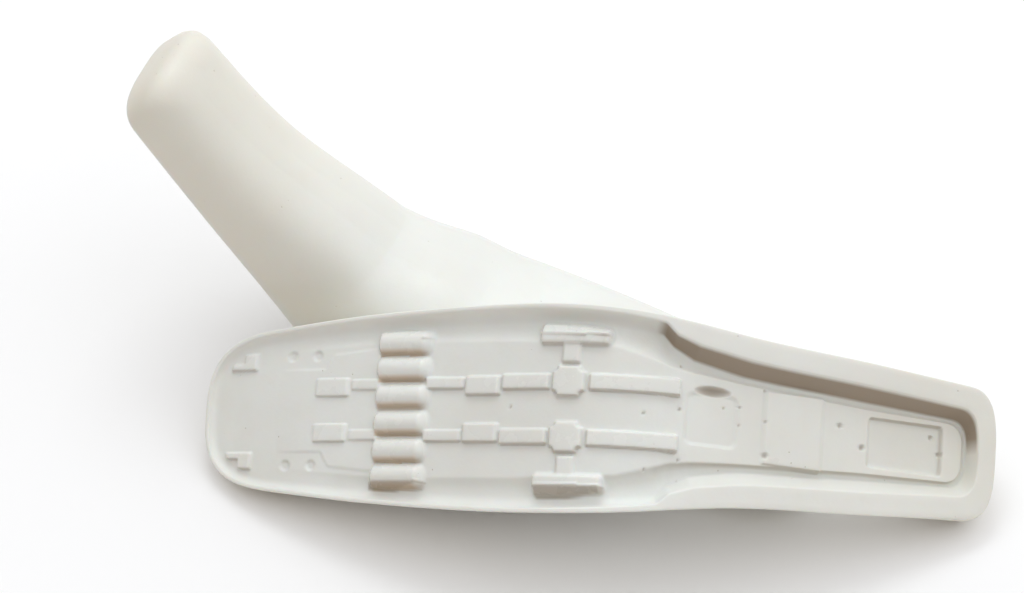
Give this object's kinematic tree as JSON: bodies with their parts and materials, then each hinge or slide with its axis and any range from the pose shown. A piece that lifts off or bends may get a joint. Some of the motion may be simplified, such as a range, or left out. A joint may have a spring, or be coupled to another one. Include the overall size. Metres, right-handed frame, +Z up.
{
  "type": "motorcycle seat foam pair",
  "caption": "Moulded polyurethane seat foams for an off-road motorcycle, one upright on its rim and one leaning on it upside down to show the underside",
  "frame": {"origin": "middle of the pair's bounding box, on the surface that both foams rest on", "axes": "+X along the pair's longest side, towards the leaning foam's nose; +Y from the leaning foam to the upright one; +Z up"},
  "size_m": [0.6462, 0.3715, 0.2457],
  "materials": {
    "upright_foam": "matte",
    "leaning_foam": "satin"
  },
  "bodies": {
    "upright": {"upright_foam": "upright_foam"},
    "leaning": {"leaning_foam": "leaning_foam"}
  },
  "joints": [
    {"name": "lift_off", "type": "slide", "parent": "upright", "child": "leaning", "axis": [0, 0, 1], "range_m": [0, 0.25]}
  ]
}
